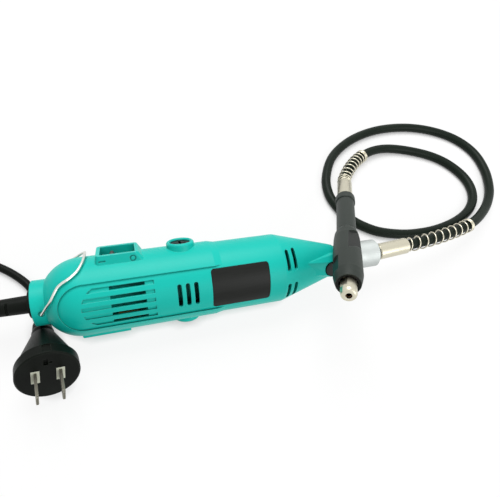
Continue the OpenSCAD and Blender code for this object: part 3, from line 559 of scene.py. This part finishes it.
def on_flats(material):
    """1 on the grip's flats, each given by its turn and its distance from the axis."""
    place = add(material, "TexCoord").outputs["Object"]
    facing = add(material, "NewGeometry").outputs["True Normal"]
    found = 0.0
    for turn, reach in GRIP_FLATS:
        angle = math.radians(turn)
        way = HAND_AXES.to_3x3() @ Vector((0, -math.sin(angle), math.cos(angle)))
        level = HAND_AXES.translation.dot(way) + reach * MM
        height = add(material, "VectorMath", {0: place, 1: way}, operation="DOT_PRODUCT")
        turned_to = add(material, "VectorMath", {0: facing, 1: way}, operation="DOT_PRODUCT")
        near = {0: height.outputs["Value"], 1: level, 2: FLAT_DEPTH}
        in_plane = add(material, "Math", near, operation="COMPARE")
        same_way = {0: turned_to.outputs["Value"], 1: FLAT_FACING}
        facing_out = add(material, "Math", same_way, operation="GREATER_THAN")
        here = {0: in_plane.outputs[0], 1: facing_out.outputs[0], 2: found}
        found = add(material, "Math", here, operation="MULTIPLY_ADD").outputs[0]
    return found


# %% [markdown]
# ## Moulded plastics
#
# The housing is ABS, moulded in tools with a fine satin grain: the colour is through
# the material, highlights are soft, and edges are slightly round where the mould was
# eroded. The black parts are glass-filled nylon, with a weaker shine. The grip is nylon
# too, moulded duller so that it doesn't slip, and small pale specks of dust and fibre
# lie in its grain. One function makes them all: noise gives the cloudy tone and the
# grain, the edge mask gives the edges a paler colour that is partly wear and partly a
# painted highlight, and corners get painted shade.


# %% Plastics
def moulded(name, colours, roughness, grain_mm, edge_mm, specular=0.3, specks=0.0, flats=None):
    """Plastic from a grained mould: cloudy colour, satin gloss, edges paler by wear and a painted
    highlight.
    """
    main, cloudy, worn_and_highlit = [linear(c) for c in colours]
    m = blank(name)
    where = add(m, "TexCoord").outputs["Object"]
    # pigment and flow give slow changes of tone, a few centimetres across
    clouds = add(m, "TexNoise", {"Vector": where, "Scale": per(30), "Detail": 3.0})
    tone = add(
        m, "Mix", {0: clouds.outputs["Fac"], MIX_A: main, MIX_B: cloudy}, data_type="RGBA"
    )
    # the grain is finer on the real mould, and is drawn as coarse as it needs to show
    grain = add(m, "TexNoise", {"Vector": where, "Scale": per(grain_mm), "Detail": 3.0})
    dust = add(
        m,
        "MapRange",
        {"Value": grain.outputs["Fac"], "From Min": 0.7, "From Max": 0.78, "To Max": specks},
    )
    edges = add(m, "Bevel", {"Radius": edge_mm * MM}, samples=6)
    wear_and_highlight = edge_wear_and_highlight(m, edges)
    pale = add(m, "Math", {0: wear_and_highlight, 1: dust.outputs["Result"]}, operation="MAXIMUM")
    # edges and dust specks get the paler colour; on edges it is partly wear and partly a painted
    # highlight
    colour = add(
        m,
        "Mix",
        {0: pale.outputs[0], MIX_A: tone.outputs[MIX_COLOUR], MIX_B: worn_and_highlit},
        data_type="RGBA",
    )
    if flats:
        # the flats are drawn in a darker colour than the grain round them
        darker_flats = {0: on_flats(m), MIX_A: colour.outputs[MIX_COLOUR], MIX_B: linear(flats)}
        colour = add(m, "Mix", darker_flats, data_type="RGBA")
    satin = add(
        m,
        "MapRange",
        {"Value": grain.outputs["Fac"], "To Min": roughness - 0.07, "To Max": roughness + 0.07},
    )
    polish = add(m, "Math", {0: wear_and_highlight, 1: -0.1, 2: satin.outputs["Result"]}, operation="MULTIPLY_ADD")
    relief = add(
        m,
        "Bump",
        {
            "Height": grain.outputs["Fac"],
            "Strength": 0.25,
            "Distance": 0.05 * MM,
            "Normal": edges.outputs["Normal"],
        },
    )
    shader = add(
        m,
        "BsdfPrincipled",
        {
            # painted shade darkens the colour in corners and pockets
            "Base Color": with_painted_shade(m, colour.outputs[MIX_COLOUR]),
            "Roughness": polish.outputs[0],
            "Normal": relief.outputs["Normal"],
            "IOR": 1.53,
            "Specular IOR Level": specular,
        },
    )
    return finish_with(m, shader)


# the third colour of each plastic is for its edges, partly wear and partly a painted highlight, and
# for the grip's specks
TEAL = ("#12C6B8", "#0FBFB0", "#2FCDC0")
# each has its name, its colours, roughness, and the grain and the edge in millimetres
finishes = {
    "teal_housing": moulded("abs_teal", TEAL, 0.42, 0.7, 0.6, 0.18),
    "dark_plastic": moulded("nylon_black", ("#121412", "#0E100E", "#272A27"), 0.38, 0.6, 0.3, 0.15),
    "switch_plastic": moulded("nylon_brown", ("#332E29", "#2B2622", "#5A534B"), 0.4, 0.6, 0.25),
    "capacitor_plastic": moulded("polyester_case", ("#A88A2C", "#9A7D26", "#C4A548"), 0.3, 1.5, 0.3),
    "grip_plastic": moulded(
        "nylon_grip",
        ("#2F3631", "#292F2B", "#434A45"),
        0.5,
        0.6,
        0.5,
        specular=0.22,
        specks=0.35,
        flats="#1A1D1B",
    ),
    "pale_plastic": moulded("nylon_natural", ("#D6D9C6", "#CBCEBB", "#E6E8DA"), 0.4, 0.9, 0.2, 0.3),
    "carbon": moulded("pressed_carbon", ("#202022", "#19191B", "#38383A"), 0.5, 0.5, 0.1, 0.2),
}
# The brush caps are phenolic resin, brown-black and glossy as such caps are
phenolic = moulded("phenolic_brown", ("#0D0E0B", "#0A0A08", "#221F1C"), 0.3, 0.9, 0.35, 0.1)
print("plastics:", ", ".join(m.name for m in finishes.values()), phenolic.name)

# %% [markdown]
# ## Rubber and PVC
#
# The sheath is extruded rubber: dark, with a faint green cast, and a dusty bloom in
# patches. The cord, boot and plug are moulded PVC, blacker, with the fine skin that
# PVC takes from its mould.


# %% Rubber
def soft_black(name, colours, roughness, grain_mm, specular):
    """Flexible black: a dusty bloom in patches over a fine skin."""
    main, dusty, worn_and_highlit = [linear(c) for c in colours]
    m = blank(name)
    where = add(m, "TexCoord").outputs["Object"]
    bloom = add(m, "TexNoise", {"Vector": where, "Scale": per(14), "Detail": 5.0})
    patches = add(
        m, "MapRange", {"Value": bloom.outputs["Fac"], "From Min": 0.42, "From Max": 0.7}
    )
    tone = add(
        m, "Mix", {0: patches.outputs["Result"], MIX_A: main, MIX_B: dusty}, data_type="RGBA"
    )
    edges = add(m, "Bevel", {"Radius": 0.5 * MM}, samples=6)
    # edges get a paler colour, partly wear and partly a painted highlight
    colour = add(
        m,
        "Mix",
        {0: edge_wear_and_highlight(m, edges), MIX_A: tone.outputs[MIX_COLOUR], MIX_B: worn_and_highlit},
        data_type="RGBA",
    )
    skin = add(m, "TexNoise", {"Vector": where, "Scale": per(grain_mm), "Detail": 3.0})
    gloss = add(
        m,
        "MapRange",
        {"Value": skin.outputs["Fac"], "To Min": roughness - 0.08, "To Max": roughness + 0.08},
    )
    relief = add(
        m,
        "Bump",
        {
            "Height": skin.outputs["Fac"],
            "Strength": 0.4,
            "Distance": 0.06 * MM,
            "Normal": edges.outputs["Normal"],
        },
    )
    shader = add(
        m,
        "BsdfPrincipled",
        {
            "Base Color": colour.outputs[MIX_COLOUR],
            "Roughness": gloss.outputs["Result"],
            "Normal": relief.outputs["Normal"],
            "IOR": 1.5,
            "Specular IOR Level": specular,
        },
    )
    return finish_with(m, shader)


finishes["sheath_rubber"] = soft_black(
    "rubber_sheath", ("#101A12", "#172119", "#27312A"), 0.42, 0.9, 0.13
)
finishes["cord_rubber"] = soft_black("pvc_black", ("#0A0E0A", "#101410", "#1F241E"), 0.42, 0.7, 0.09)
print("soft blacks:", finishes["sheath_rubber"].name, finishes["cord_rubber"].name)

# %% [markdown]
# ## Label film
#
# The label is polyester film with a black back print, stuck in its bed. Film over glue
# is never quite flat, so its reflection wavers over a few millimetres, and wiping has
# left fine lines that dull its gloss.


# %% Film
def label_film(name, colours):
    """Film over glue: a wavering surface, its gloss dulled along fine wiping lines."""
    dark, hazy = [linear(c) for c in colours]
    m = blank(name)
    where = add(m, "TexCoord").outputs["Object"]
    waver = add(m, "TexNoise", {"Vector": where, "Scale": per(9), "Detail": 1.0})
    # wiping lines run along the tool: long in X and half a millimetre across
    lengthwise = add(m, "Mapping", {"Vector": where, "Scale": (0.04, 1.0, 1.0)})
    wiped = add(
        m, "TexNoise", {"Vector": lengthwise.outputs["Vector"], "Scale": per(0.5), "Detail": 2.0}
    )
    gloss = add(m, "MapRange", {"Value": wiped.outputs["Fac"], "To Min": 0.3, "To Max": 0.46})
    tint = add(
        m,
        "Mix",
        {0: wiped.outputs["Fac"], MIX_A: dark, MIX_B: hazy},
        data_type="RGBA",
    )
    edges = add(m, "Bevel", {"Radius": 0.3 * MM}, samples=6)
    relief = add(
        m,
        "Bump",
        {
            "Height": waver.outputs["Fac"],
            "Strength": 0.3,
            "Distance": 0.1 * MM,
            "Normal": edges.outputs["Normal"],
        },
    )
    shader = add(
        m,
        "BsdfPrincipled",
        {
            "Base Color": tint.outputs[MIX_COLOUR],
            "Roughness": gloss.outputs["Result"],
            "Normal": relief.outputs["Normal"],
            "Specular IOR Level": 0.14,
        },
    )
    return finish_with(m, shader)


film = label_film("polyester_film", ("#151614", "#232523"))
print("label:", film.name)

# %% [markdown]
# ## Metals
#
# Nickel plate is warm in tone and reflects the room softly, with only a faint
# unevenness from the bath. The coupling nut is turned aluminium, left bare: the tool
# leaves fine rings round it, and the oxide dulls it to a pale grey. The inner steel
# parts are turned or ground.


# %% Metals
def metal(name, colours, roughness, patch_mm, rings_mm=0.0, edge_mm=0.25):
    """Bare or plated metal: an even tone, soft gloss patches, edges brighter by wear and a painted
    highlight.
    """
    main, dull, bright = [linear(c) for c in colours]
    m = blank(name)
    where = add(m, "TexCoord").outputs["Object"]
    patches = add(m, "TexNoise", {"Vector": where, "Scale": per(patch_mm), "Detail": 3.0})
    tone = add(
        m, "Mix", {0: patches.outputs["Fac"], MIX_A: main, MIX_B: dull}, data_type="RGBA"
    )
    edges = add(m, "Bevel", {"Radius": edge_mm * MM}, samples=6)
    # edges get a brighter colour, partly wear and partly a painted highlight
    colour = add(
        m,
        "Mix",
        {0: edge_wear_and_highlight(m, edges), MIX_A: tone.outputs[MIX_COLOUR], MIX_B: bright},
        data_type="RGBA",
    )
    gloss = add(
        m,
        "MapRange",
        {"Value": patches.outputs["Fac"], "To Min": roughness * 0.85, "To Max": roughness * 1.15},
    )
    surface = patches
    if rings_mm:
        # turning rings: thin along the tool's axis, and endless round it
        along = add(m, "Mapping", {"Vector": where, "Scale": (1.0, 0.02, 0.02)})
        surface = add(
            m, "TexNoise", {"Vector": along.outputs["Vector"], "Scale": per(rings_mm), "Detail": 2.0}
        )
    relief = add(
        m,
        "Bump",
        {
            "Height": surface.outputs["Fac"],
            "Strength": 0.2,
            "Distance": (0.05 if rings_mm else 0.01) * MM,
            "Normal": edges.outputs["Normal"],
        },
    )
    shader = add(
        m,
        "BsdfPrincipled",
        {
            "Base Color": colour.outputs[MIX_COLOUR],
            "Metallic": 1.0,
            "Roughness": gloss.outputs["Result"],
            "Normal": relief.outputs["Normal"],
        },
    )
    return finish_with(m, shader)


# each has its name, its colours, roughness, and the size of its patches in millimetres
finishes["nickel"] = metal("nickel_plate", ("#D3CFBB", "#CBC6B2", "#E9E5D6"), 0.32, 12)
finishes["bare_aluminium"] = metal(
    "turned_aluminium", ("#C2C7C5", "#B7BCBA", "#E2E5E4"), 0.6, 6, rings_mm=0.8
)
finishes["screw_steel"] = metal("zinc_plate", ("#B4B8BC", "#A4A8AC", "#D4D7DA"), 0.3, 3)
finishes["machine_steel"] = metal("ground_steel", ("#A9ABAD", "#97999B", "#C8CACC"), 0.3, 3)
finishes["core_steel"] = metal("stacked_core_steel", ("#55585A", "#444648", "#75787A"), 0.5, 2)
# the copper is drawn dark brown: partly the carbon dust that brushes leave on it, and partly painted
# shade for the inside of the motor
finishes["copper"] = metal("enamelled_copper_painted_shade", ("#7A4426", "#63361D", "#96603C"), 0.38, 1.5)
finishes["brass"] = metal("stamped_brass", ("#9C8243", "#886F38", "#B89C5C"), 0.35, 4)
# some pieces have a finish of their own: drawn wire, steel dark from its hardening, a
# fitting neck drawn dark as painted shade in the gap behind the nut, and brass blades
# whose thin tin has gone dull
bright_wire = metal("bright_steel_wire", ("#DFE0DA", "#D2D3CC", "#F2F2EE"), 0.3, 8)
# the cable fitting's neck: its dark colour is painted shade for the gap between nut and ferrule
painted_shade_steel = metal("fitting_steel_painted_shade", ("#2E302F", "#252726", "#4A4C4B"), 0.45, 4)
tempered = metal("tempered_steel", ("#5E4632", "#4C3829", "#7C634C"), 0.4, 2)
tinned = metal("dull_tinned_brass", ("#77756A", "#66645A", "#A3A196"), 0.45, 3)
print("metals:", len(finishes), "finishes by slot in all")

# %% [markdown]
# ## Each piece gets its finish
#
# The CAD record gives every part a slot for its finish, so one loop dresses nearly all
# of them. A few parts share a slot with others and are finished another way, so these
# are listed by name: most as on the real tool, and the cable fitting dark as painted
# shade. The pieces drawn here carry their slot themselves.

# %% Finishes on the pieces
slots = {part["node"]: part["material_slot"] for part in frame["record"]["subparts"]}
own = {
    "label_plate": film,
    "brush_caps": phenolic,
    "hand_cap": finishes["grip_plastic"],
    "cable_fitting": painted_shade_steel,
    "collet": tempered,
    "plug_blades": tinned,
}
for node, piece in frame["nodes"].items():
    piece.data.materials.clear()
    piece.data.materials.append(own.get(node, finishes[slots[node]]))
for piece in (cable, cord, strap, tool_spring, hand_spring):
    piece.data.materials.append(finishes[piece["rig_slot"]])
bail.data.materials.append(bright_wire)
print("finished", len(frame["nodes"]), "CAD parts and 6 pieces")

# %% [markdown]
# ## Table and light
#
# One soft lamp hangs above and behind the tool and models its round body, a weaker one
# fills from the front right, and the sky gives an even light from all round. Together
# they are at a level where colours show about as they are written. The table throws
# back about two thirds of the light, as pale grey card does, so that the undersides
# stay darker. To the camera, and in reflections, the card is nearly white and keeps a
# little of its shadows; within a few millimetres of what lies on it, an Ambient
# Occlusion node dims its glow, a painted contact shadow.

# %% Table
FLOOR_SIZE = 6.0
floor_mesh = bpy.data.meshes.new("table_top")
half = FLOOR_SIZE / 2
floor_mesh.from_pydata(
    [(-half, -half, 0), (half, -half, 0), (half, half, 0), (-half, half, 0)], [], [(0, 1, 2, 3)]
)
floor = bpy.data.objects.new("table_top", floor_mesh)
bpy.context.scene.collection.objects.link(floor)


def watched(material):
    """1 for rays from the camera and rays seen in a reflection or through glass."""
    path = add(material, "LightPath")
    mirrored = {0: path.outputs["Is Glossy Ray"], 1: path.outputs["Is Transmission Ray"]}
    second = add(material, "Math", mirrored, operation="MAXIMUM")
    first = {0: path.outputs["Is Camera Ray"], 1: second.outputs[0]}
    return add(material, "Math", first, operation="MAXIMUM").outputs[0]


card = blank("pale_card")
seen = watched(card)
tone = add(
    card, "Mix", {0: seen, MIX_A: linear("#D9DAD7"), MIX_B: linear("#FCFCFB")}, data_type="RGBA"
)
surface = add(card, "BsdfDiffuse", {"Color": tone.outputs[MIX_COLOUR]})
glow = add(card, "Emission", {"Color": linear("#FFFFFF"), "Strength": 1.0})
GLOW_SHARE = 0.88
# painted contact shadow: an Ambient Occlusion node dims the glow near what lies on the card
contact = add(card, "AmbientOcclusion", {"Distance": 8 * MM}, samples=8)
painted_contact_glow = add(card, "Math", {0: contact.outputs["AO"], 1: GLOW_SHARE}, operation="MULTIPLY")
share = add(card, "Math", {0: seen, 1: painted_contact_glow.outputs[0]}, operation="MULTIPLY")
both = add(
    card,
    "MixShader",
    {0: share.outputs[0], 1: surface.outputs["BSDF"], 2: glow.outputs["Emission"]},
)
add(card, "OutputMaterial", {"Surface": both.outputs["Shader"]})
floor.data.materials.append(card)
print("table", FLOOR_SIZE, "m wide")

# %% Lamps and sky
LAMPS = {
    # name: (place, aim, width, watts)
    "overhead_softbox": ((0.0, 0.6, 1.05), (0.05, 0.0, 0.0), 0.75, 11.5),
    "front_fill": ((0.55, -0.85, 0.6), (0.06, 0.0, 0.0), 0.8, 5.5),
}
for name, (place, aim, width, watts) in LAMPS.items():
    lamp = bpy.data.objects.new(name, bpy.data.lights.new(name, "AREA"))
    lamp.data.shape = "SQUARE"
    lamp.data.size = width
    lamp.data.energy = watts
    lamp.location = place
    lamp.rotation_euler = (Vector(aim) - Vector(place)).to_track_quat("-Z", "Y").to_euler()
    bpy.context.scene.collection.objects.link(lamp)

SKY_LIGHT = 0.35
sky = bpy.data.worlds.new("studio")
bpy.context.scene.world = sky
sky.use_nodes = True
sky.node_tree.nodes.clear()
level = add(sky, "MapRange", {"Value": watched(sky), "To Min": SKY_LIGHT, "To Max": 1.0})
light = add(sky, "Background", {"Color": linear("#FFFFFF"), "Strength": level.outputs["Result"]})
add(sky, "OutputWorld", {"Surface": light.outputs["Background"]})
bpy.context.scene.view_settings.view_transform = "Standard"
print("lamps:", ", ".join(LAMPS), "and sky at", SKY_LIGHT)
